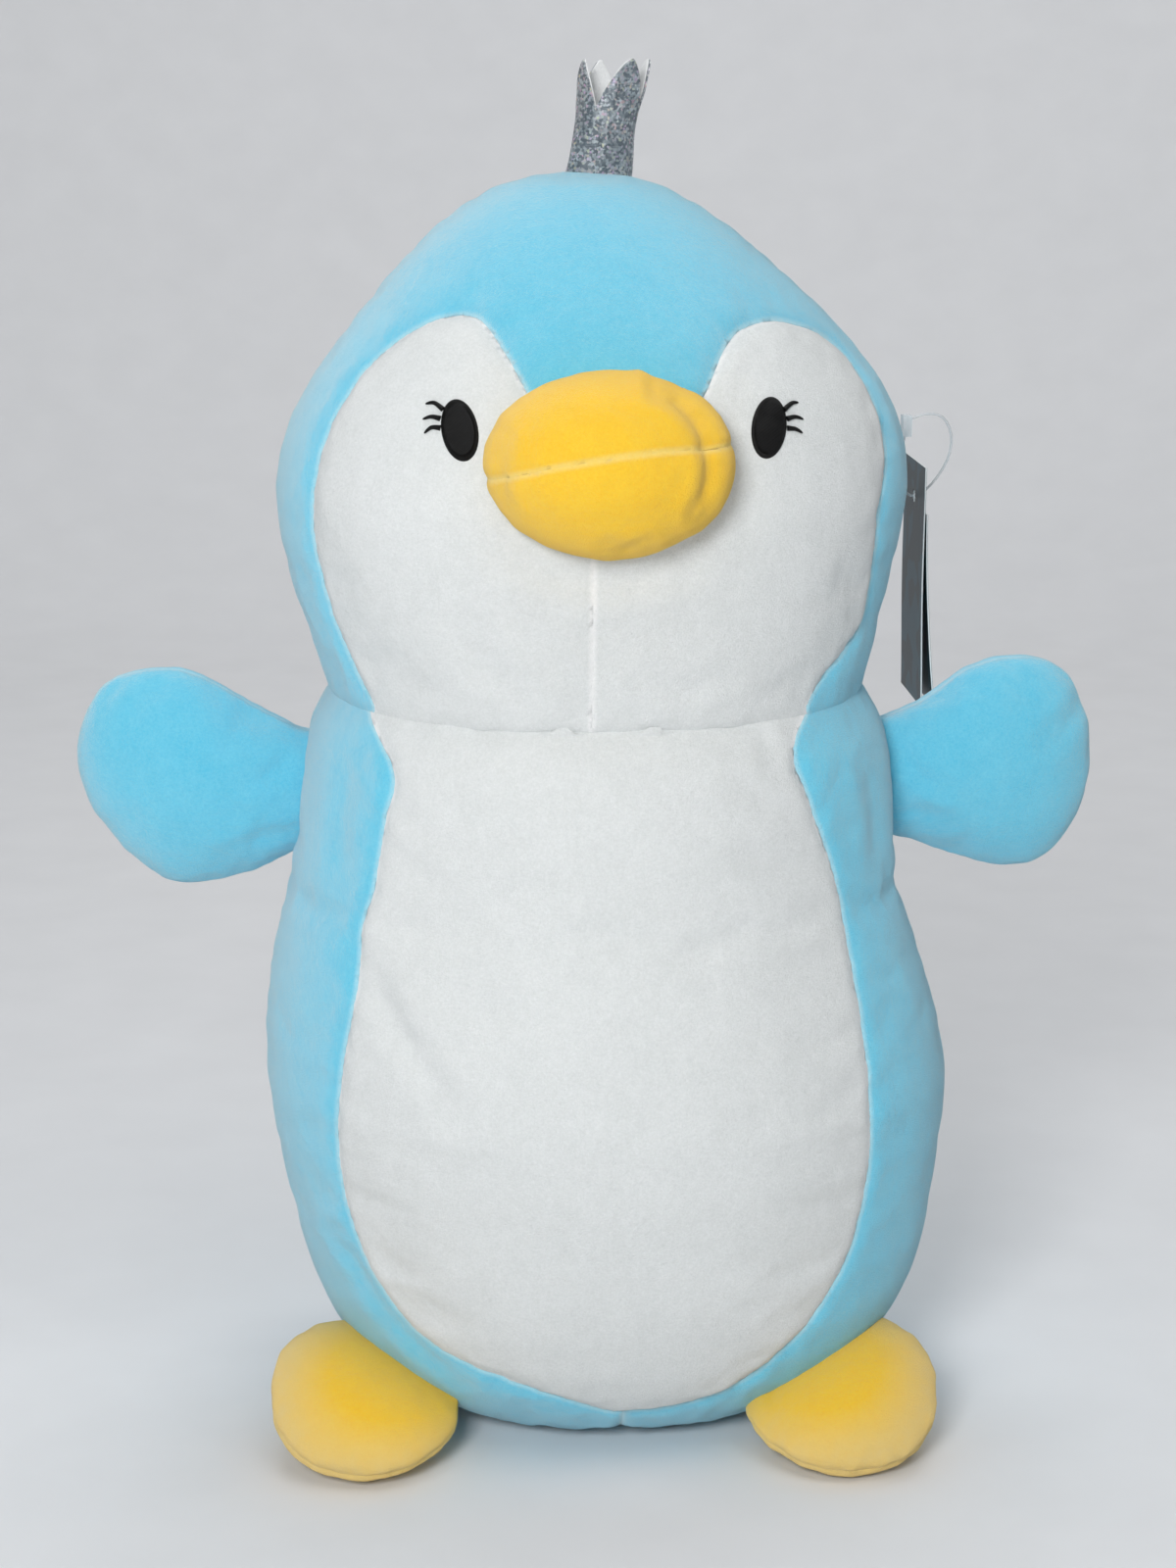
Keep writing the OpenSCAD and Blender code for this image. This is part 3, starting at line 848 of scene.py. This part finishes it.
# stations run out from the body: distance, top, bottom, thickness
armMake = dict(
    voxel=3.0, open=104.0, sleeveEnd=122.0, fillFrom=126.0, inset=3.6, height=246.0, held=1.6, heldTo=112.0,
    sleeveBend=(106, 119), armBend=(124, 140),
    left=[(100, 268, 223, 26), (110, 270, 221, 31), (121, 275, 218.5, 34), (130, 281, 215, 37),
          (139, 288, 211.5, 39), (152, 292.5, 208, 40), (165, 293, 207.5, 38), (174, 290.5, 212, 34),
          (179, 287.5, 217, 30), (184, 280, 225, 24), (187.5, 271, 232, 18), (190, 258, 246, 8)],
    right=[(100, 266, 222, 26), (110, 267.5, 220, 31), (121, 273, 213.5, 34), (133, 280, 209, 38),
           (146, 288, 206, 40), (155, 291, 205, 40), (163, 291.5, 206, 39), (171, 291, 212, 36),
           (180, 288.5, 220, 32), (187, 284, 229, 27), (192, 276, 237, 20), (195, 268, 246, 12),
           (196.5, 261, 253, 5)],
    folds=dict(
        left=[dict(line=[(188, 279), (178, 268), (170, 262)], depth=1.0, width=4),
              dict(line=[(112, 262), (120, 250), (130, 244)], depth=0.8, width=3),
              dict(line=[(112, 232), (122, 234), (132, 230)], depth=0.6, width=3)],
        right=[dict(line=[(-112, 260), (-122, 252), (-132, 250)], depth=0.7, width=3),
               dict(line=[(-112, 230), (-124, 228), (-136, 222)], depth=0.7, width=3),
               dict(line=[(-186, 226), (-176, 236)], depth=0.6, width=4)]))


def makeArm(make, side, turn):
    stations = np.array(make[side], float)
    name, root, arm = "arm" + side.title(), "arm_" + side + "_root", "arm_" + side

    def place(share, up, over):
        out = stations[0, 0] + (stations[-1, 0] - stations[0, 0]) * share
        top, bottom, thick = (np.interp(out, stations[:, 0], stations[:, k]) for k in (1, 2, 3))
        return np.stack([turn * out, over * thick / 2, (top + bottom + up * (top - bottom)) / 2], axis=1) * mm

    def held(points):
        return (np.abs(points[:, 1]) < make["held"] * mm) | (np.abs(points[:, 0]) < make["heldTo"] * mm)

    def along(bend):
        return [Vector((turn * at, 0, make["height"])) * mm for at in make[bend]]

    form = limbForm(name + "Form", place, make["voxel"])
    blownUp(form, held, **limbPuff)
    fill = fillOf(form, name + "Fill", make["inset"])
    finishWith(form, "SUBSURF", levels=1, render_levels=1)
    for end in ("open", "sleeveEnd"):
        cutAlong(form, lambda p: np.abs(p[:, 0]) - make[end] * mm, everywhere)
    cutAlong(form, lambda p: p[:, 1], everywhere)
    middle = centresOf(form)
    out = np.abs(middle[:, 0]) / mm
    halves = np.where(middle[:, 1] > 0, "back", "front").astype(object)
    labels = halves.copy()
    labels[out < make["sleeveEnd"]] = "sleeve"
    labels[out < make["open"]] = "lid"
    sewn(form, halves, groove=1.2, reach=5.0, pucker=0.35, puckerSize=8.0)
    creased(form, make["folds"][side])
    sleeve = panelOf(form, labels, "sleeve", name + "Sleeve")
    dressBent(sleeve, "blue", root, along("sleeveBend"))
    for label in ("front", "back"):
        panel = panelOf(form, labels, label, name + label.title() + "Skin")
        dressBent(panel, "blue", arm + "_" + label + "_panel", along("armBend"))
    reworked(fill, bpy.ops.mesh.bisect, plane_co=(turn * make["fillFrom"] * mm, 0, 0), plane_no=(turn, 0, 0),
             use_fill=True, clear_inner=True)
    dressBent(fill, "fill", arm + "_stuffing", along("armBend"))
    bpy.data.objects.remove(form)


makeArm(armMake, "left", 1)
makeArm(armMake, "right", -1)
print("arms made")

# feet

# stations run out from the hinge line: distance, half width, thickness, sunk under the body
footMake = dict(
    centre=10, length=50, width=40,   # the painted sheen, paler towards the foot's rim
    voxel=3.0, root=(70, -56, 34), bend=(-7, 9), held=1.6, heldTo=4.0, inset=3.4,
    over=dict(left=-1.0, right=-3.5), down=dict(left=2.0, right=0.0),   # each foot's own shift
    stations=[(-15, 4, 5, 12), (-11, 15, 9, 11.5), (-5, 24, 13, 10.5), (0, 30, 16, 9), (8, 35, 20, 6.5),
              (16, 37.5, 24, 4), (24, 38, 27, 2), (32, 37.3, 28, 1), (40, 34.5, 26, 0.5), (48, 29, 22, 0.5),
              (55, 20.5, 16, 1), (59, 13, 11, 1.5), (61, 4, 5, 2)])


def makeFoot(make, side, turn):
    joint = next(j for j in frame["record"]["behaviour"]["joints"] if j["name"] == "foot_" + side + "_flex")
    pivot = np.array(make["root"]) * (turn, 1, 1) * mm
    axis = np.array(joint["axis"])
    low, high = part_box("foot_" + side + "_stuffing")
    middle = np.array((low + high) / 2) - pivot
    out = middle - axis * (middle @ axis)
    out /= np.linalg.norm(out)
    face = np.cross(axis, out)
    face *= np.sign(face[2])
    stations = np.array(make["stations"], float)

    def place(share, sideways, up):
        along = stations[0, 0] + (stations[-1, 0] - stations[0, 0]) * share
        half, thick, sunk = (np.interp(along, stations[:, 0], stations[:, k]) for k in (1, 2, 3))
        across = (sideways * half + make["over"][side])[:, None] * axis * turn
        lift = (up * thick / 2 - sunk)[:, None] * face
        return pivot + ((along + make["down"][side] * share)[:, None] * out + across + lift) * mm

    def rim(points):
        along = (points - pivot) @ out / mm
        return (points - pivot) @ face + np.interp(along, stations[:, 0], stations[:, 3]) * mm

    def held(points):
        return (np.abs(rim(points)) < make["held"] * mm) | ((points - pivot) @ out < make["heldTo"] * mm)

    name, body = "foot" + side.title(), "foot_" + side
    form = limbForm(name + "Form", place, make["voxel"])
    blownUp(form, held, **limbPuff)
    fill = fillOf(form, name + "Fill", make["inset"])
    finishWith(form, "SUBSURF", levels=1, render_levels=1)
    cutAlong(form, rim, everywhere)
    labels = np.where(rim(centresOf(form)) > 0, "upper", "sole").astype(object)
    sewn(form, labels, groove=1.2, reach=5.0, pucker=0.7, puckerSize=7.0)
    # a painted sheen mask: paler towards the foot's outer rim, as the pile looks in grazing light
    spots = pointsOf(form) - pivot
    far = np.hypot((spots @ out / mm - make["centre"]) / make["length"], (spots @ axis / mm) / make["width"])
    mark(form, "worn", np.clip((far - 0.55) / 0.4, 0, 1))
    ends = [pivot + out * at * mm for at in make["bend"]]
    for label, node in (("upper", "_upper_panel"), ("sole", "_sole")):
        panel = panelOf(form, labels, label, name + label.title() + "Skin")
        dressBent(panel, "yellow", body + node, ends)
    dressBent(fill, "fill", body + "_stuffing", ends)
    bpy.data.objects.remove(form)


makeFoot(footMake, "left", 1)
makeFoot(footMake, "right", -1)
print("feet made")

# beak

beakMake = dict(
    voxel=3.0, middle=377.0, roll=5.0, shift=-0.8, grow=0.7, held=1.6, heldTo=-88.0, back=-84.0, inset=3.4,
    seam=[(-46, 371), (-37, 374.5), (-20, 379.5), (0, 383), (15, 384.5), (29, 384.5), (44, 383.5)],
    folds=[dict(line=[(-37, 388), (-38.5, 380), (-38, 370), (-36, 362)], depth=0.9, width=2.6),
           dict(line=[(15, 404), (23, 399), (28.5, 392), (31.5, 383), (31.5, 373), (28, 363)],
                depth=2.0, width=3.0),
           dict(line=[(-2, 352), (3, 350), (10, 352)], depth=1.3, width=2.6)])


def makeBeak(make):
    form = remeshed("beakForm", ["beak_upper_panel", "beak_lower_panel", "beak_stuffing"], make["voxel"])
    points = pointsOf(form)
    rolled, high = math.sin(math.radians(make["roll"])), points[:, 2] - make["middle"] * mm
    points[:, 2] += points[:, 0] * rolled
    points[:, 0] += make["shift"] * mm - high * rolled
    movePoints(form, points + normalsOf(form) * make["grow"] * mm)

    def seamSide(points):
        return points[:, 2] - curveOf(make["seam"], points[:, 0] / mm) * mm

    def held(points):
        return (np.abs(seamSide(points)) < make["held"] * mm) | (points[:, 1] > make["heldTo"] * mm)

    blownUp(form, held, **limbPuff)
    fill = fillOf(form, "beakFill", make["inset"])
    finishWith(form, "SUBSURF", levels=1, render_levels=1)
    cutAlong(form, seamSide, lambda p: p[:, 1] < (make["back"] - 2) * mm)
    cutAlong(form, lambda p: p[:, 1] - make["back"] * mm, everywhere)
    middle = centresOf(form)
    labels = np.where(seamSide(middle) > 0, "upper", "lower").astype(object)
    creased(form, make["folds"])
    sewn(form, labels, groove=1.0, reach=4.0, pucker=0.2, puckerSize=6.0)
    dressPanels(form, labels, [("upper", "beak_upper", "yellow"), ("lower", "beak_lower", "yellow")])
    dress(fill, "fill", "torso", ["beak_stuffing"])
    bpy.data.objects.remove(form)


makeBeak(beakMake)
print("beak made")

# eyes and lashes, stitched on the face

eyeMake = dict(
    left=dict(centre=(55, 387), size=(13, 21), lean=9, turn=1,
              lashes=[((60.5, 392.5), (63.5, 394.5), (66, 394.5)),
                      ((61.5, 389.5), (64.5, 390), (67.5, 389)),
                      ((61.5, 386.5), (64.5, 386), (67, 384.5))]),
    right=dict(centre=(-51, 387), size=(13, 21), lean=9, turn=-1,
               lashes=[((-56.5, 393.5), (-59.5, 395.5), (-62.5, 395)),
                       ((-57.5, 390.5), (-60.5, 391), (-63.5, 390)),
                       ((-57.5, 387.5), (-60.5, 387.5), (-63, 385.5))]),
    rise=0.9, rim=0.35, rimWidth=1.7, lash=1.0, lashRise=0.45)


def makeEyes(make, side):
    eye = make[side]
    tree = BVHTree.FromObject(headForm, bpy.context.evaluated_depsgraph_get())

    def onFace(x, z, rise):
        spot, normal, _, _ = tree.ray_cast(Vector((x, -200, z)) * mm, Vector((0, 1, 0)))
        return spot + normal * rise * mm

    oval = added(bpy.ops.mesh.primitive_circle_add, "eye" + side.title() + "Stitch", vertices=72, radius=1,
                 fill_type="NGON")
    bpy.ops.object.mode_set(mode="EDIT")
    for step in (0.06, 0.08, 0.1, 0.1, 0.12, 0.14, 0.14):
        bpy.ops.mesh.select_all(action="DESELECT")
        bm = bmesh.from_edit_mesh(oval.data)
        max(bm.faces, key=lambda f: len(f.verts)).select = True
        bm.select_flush_mode()
        bmesh.update_edit_mesh(oval.data)
        bpy.ops.mesh.inset(thickness=step)
    bpy.ops.mesh.poke()
    bpy.ops.object.mode_set(mode="OBJECT")
    lean = math.radians(eye["lean"]) * eye["turn"]
    threads, points = [], []
    for u, v, _ in pointsOf(oval):
        x, z = u * eye["size"][0] / 2, v * eye["size"][1] / 2
        away = math.hypot(u, v)
        x, z = x * math.cos(lean) + z * math.sin(lean), z * math.cos(lean) - x * math.sin(lean)
        edge = math.sqrt(max(0, 1 - away ** 6))
        band = math.exp(-((1 - away) * eye["size"][0] / 2 / make["rimWidth"]) ** 2)
        rise = -0.5 + (make["rise"] + 0.5) * edge + make["rim"] * band * edge
        points.append(onFace(eye["centre"][0] + x, eye["centre"][1] + z, rise))
        threads.append((x * 0.35 + z) * mm if band < 0.5 else math.atan2(v, u) * 8 * mm)
    movePoints(oval, points)
    mark(oval, "thread", threads)
    finishWith(oval, "SOLIDIFY", thickness=0.6 * mm, offset=-1)
    smoothShade(oval, 70)
    dress(oval, "stitch", "torso", ["eye_" + side])
    strokes = []
    for root, bend, tip in eye["lashes"]:
        route = [onFace(x, z, make["lashRise"]) for x, z in through([root, bend, tip], 6)]
        stroke = wireOf("lash", route, make["lash"] * mm, capped=True)
        for i, point in enumerate(stroke.data.splines[0].points):
            t = i / (len(route) - 1)
            point.radius = (1 - 0.55 * t) * math.sqrt(max(0.05, 1 - t ** 6))
        strokes.append(stroke)
    only(*strokes)
    bpy.ops.object.convert(target="MESH")
    bpy.ops.object.join()
    lashes = bpy.context.object
    lashes.name = "lashes" + side.title() + "Stitch"
    mark(lashes, "thread", pointsOf(lashes)[:, 2])
    smoothShade(lashes, 60)
    dress(lashes, "stitch", "torso", ["lashes_" + side])


makeEyes(eyeMake, "left")
makeEyes(eyeMake, "right")
print("eyes made")

# crown: a strip of silver cloth rolled into a tube, its top cut into petals

crownMake = dict(
    foot=(1.5, 12, 469.5), width=25, depth=19, height=42, lean=8, notch=20, petals=4, turn=24, leaf=0.7,
    cloth=0.8, lining=0.7, curl=(2.0, 1.2, 0.4, 4.2), bend=(-1, 9))


def makeCrown(make):
    rows, around = 16, 64
    tube = added(bpy.ops.mesh.primitive_cylinder_add, "crownSilver", vertices=around, radius=1, depth=1,
                 end_fill_type="NOTHING")
    for k in range(1, rows):
        reworked(tube, bpy.ops.mesh.bisect, plane_co=(0, 0, k / rows - 0.5), plane_no=(0, 0, 1))
    unit = pointsOf(tube)
    turn = np.arctan2(unit[:, 1], unit[:, 0])
    round_ = turn / (2 * math.pi) * make["petals"] + make["turn"] / 90
    toTip = 1 - np.abs(round_ % 1 * 2 - 1)          # 0 in a notch, 1 at a tip
    petal = np.floor(round_ % make["petals"]).astype(int)
    top = make["height"] - make["notch"] * (1 - toTip ** make["leaf"])
    along = unit[:, 2] + 0.5
    height = along * top
    rise = np.clip((height - (make["height"] - make["notch"])) / make["notch"], 0, 1)
    swell = 1 - 0.1 * np.sin(np.clip(along, 0, 1) * math.pi) + 0.012 * np.sin(turn * 5 + height * 0.3)
    curl = np.array(make["curl"])[petal] * rise ** 1.6
    x = np.cos(turn) * (make["width"] / 2 * swell + curl)
    y = np.sin(turn) * (make["depth"] / 2 * swell + curl)
    # a sharp fold runs up the front
    fold = np.exp(-((turn + math.pi * 0.52 - height * 0.004) / 0.13) ** 2)
    y -= 1.1 * fold * (1 - 0.4 * rise)
    lean = math.tan(math.radians(make["lean"]))
    foot = np.array(make["foot"], float)
    tree = BVHTree.FromObject(headForm, bpy.context.evaluated_depsgraph_get())
    sunk = np.array([tree.ray_cast(Vector((foot[0] + a, foot[1] + b, 600)) * mm, Vector((0, 0, -1)))[0].z / mm
                     for a, b in zip(x, y)]) - foot[2] - 0.8
    height = np.where(height < 8, sunk + (8 - sunk) * height / 8, height)
    points = np.stack([foot[0] + x + height * lean, foot[1] + y, foot[2] + height], axis=1)
    movePoints(tube, points * mm)
    lining = linked("crownFelt", tube.data.copy())
    movePoints(lining, pointsOf(lining) - normalsOf(lining) * make["cloth"] * 1.02 * mm)
    finishWith(tube, "SOLIDIFY", thickness=make["cloth"] * mm, offset=-1)
    finishWith(lining, "SOLIDIFY", thickness=make["lining"] * mm, offset=-1)
    for piece, finish, node in ((tube, "silver", "crown_outer"), (lining, "lining", "crown_lining")):
        finishWith(piece, "SUBSURF", levels=1, render_levels=1)
        smoothShade(piece, 45)
        dressBent(piece, finish, node, [(foot + (0, 0, up)) * mm for up in make["bend"]])


makeCrown(crownMake)
print("crown made")

# hang tag: two card leaves under a folded header

tagMake = dict(
    back=dict(node="tag_back_leaf", body="tag", bow=-0.8, splay=0.5),
    front=dict(node="tag_front_leaf", body="tag_front", bow=0.4, splay=4.6))


def makeLeaf(make, name):
    leaf = make[name]
    low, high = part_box(leaf["node"])
    size = high - low
    card = linked("tag" + name.title() + "Card", frame["nodes"][leaf["node"]].data.copy())
    reworked(card, bpy.ops.mesh.remove_doubles, threshold=0.00001)
    reworked(card, bpy.ops.mesh.dissolve_limited, angle_limit=math.radians(1))
    for axis, parts in ((2, 16), (1, 8)):
        way = Vector([float(k == axis) for k in range(3)])
        for k in range(1, parts):
            place = way * (low[axis] + size[axis] * k / parts)
            reworked(card, bpy.ops.mesh.bisect, plane_co=place, plane_no=way)
    points = pointsOf(card)
    down = (high.z - points[:, 2]) / size.z
    points[:, 0] += (leaf["bow"] * np.sin(down * math.pi) ** 2 * 0.5 + leaf["splay"] * down ** 2) * mm
    movePoints(card, points)
    mark(card, "cut", [abs(p.normal.x) < 0.6 for p in card.data.polygons], "FACE")
    finishWith(card, "BEVEL", width=0.00012, segments=1, limit_method="ANGLE", angle_limit=math.radians(60))
    smoothShade(card, 30)
    dress(card, "card", leaf["body"], [leaf["node"]])


makeLeaf(tagMake, "back")
makeLeaf(tagMake, "front")
frame["nodes"]["tag_pin"].data.materials[0] = finishes["nylon"][0]
print("tag made")

# care label: a blank satin strip folded at the seam

labelMake = dict(width=30, length=40, cloth=0.5, wave=1.2)


def makeLabel(make):
    low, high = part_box("care_label")
    label = added(bpy.ops.mesh.primitive_grid_add, "careLabelSatin", x_subdivisions=24,
                  y_subdivisions=32, size=1)
    unit = pointsOf(label)
    across, down = unit[:, 0], 0.5 - unit[:, 1]
    hang = low.y + 0.0006 + make["wave"] * mm * (np.sin(down * 5) * 0.5 + across * down * 0.8)
    points = np.stack([across * make["width"] * mm, hang, high.z - down * make["length"] * mm], axis=1)
    movePoints(label, points)
    finishWith(label, "SOLIDIFY", thickness=make["cloth"] * mm, offset=0)
    smoothShade(label, 60)
    dress(label, "satin", "label", ["care_label"])


makeLabel(labelMake)
print("label made")

# floor and light

stageMake = dict(floor=6.0, flat=1.5, rise=0.8)          # metres
roomMake = dict(colour=(0.82, 0.86, 0.9, 1), strength=0.1)


def addStage():
    # flat round the toy, and curved up into a backdrop on every side
    floor = added(bpy.ops.mesh.primitive_grid_add, "floor", x_subdivisions=80, y_subdivisions=80,
                  size=stageMake["floor"])
    points = pointsOf(floor)
    away = np.hypot(points[:, 0], points[:, 1])
    points[:, 2] = stageMake["rise"] * np.clip(away - stageMake["flat"], 0, None) ** 2
    movePoints(floor, points)
    smoothShade(floor)
    look = Finish("paleFloor")
    grain = look.noise(0.05, 3.0, 0.5)
    look.surface(Base_Color=look.mix(grain, rgb(222, 223, 225), rgb(230, 231, 233)), Roughness=0.9)
    floor.data.materials.append(look.material)


def addLight(name, place, aim, size, power):
    place, aim = Vector(place), Vector(aim)
    bpy.ops.object.light_add(type="AREA", location=place)
    light = bpy.context.object
    light.name = name
    light.rotation_euler = (place - aim).to_track_quat("Z", "Y").to_euler()
    light.data.size = size
    light.data.energy = power


addStage()
addLight("frontLight", (-0.38, -1.3, 0.85), (0, 0, 0.25), 0.4, 13.5)
addLight("backLight", (0.2, 1.0, 2.0), (0, 1.6, 0.3), 1.6, 24)
addLight("nearLight", (0.2, -1.0, 2.0), (0, -1.9, 0.3), 1.6, 14)
world = bpy.data.worlds.new("paleRoom")
bpy.context.scene.world = world
world.use_nodes = True
sky = world.node_tree.nodes["Background"].inputs
sky["Color"].default_value, sky["Strength"].default_value = roomMake["colour"], roomMake["strength"]
bpy.context.scene.view_settings.view_transform = "Standard"     # keeps the velour's colours bright
print("floor and lights made")

for form in (bodyForm, headForm):
    bpy.data.objects.remove(form)
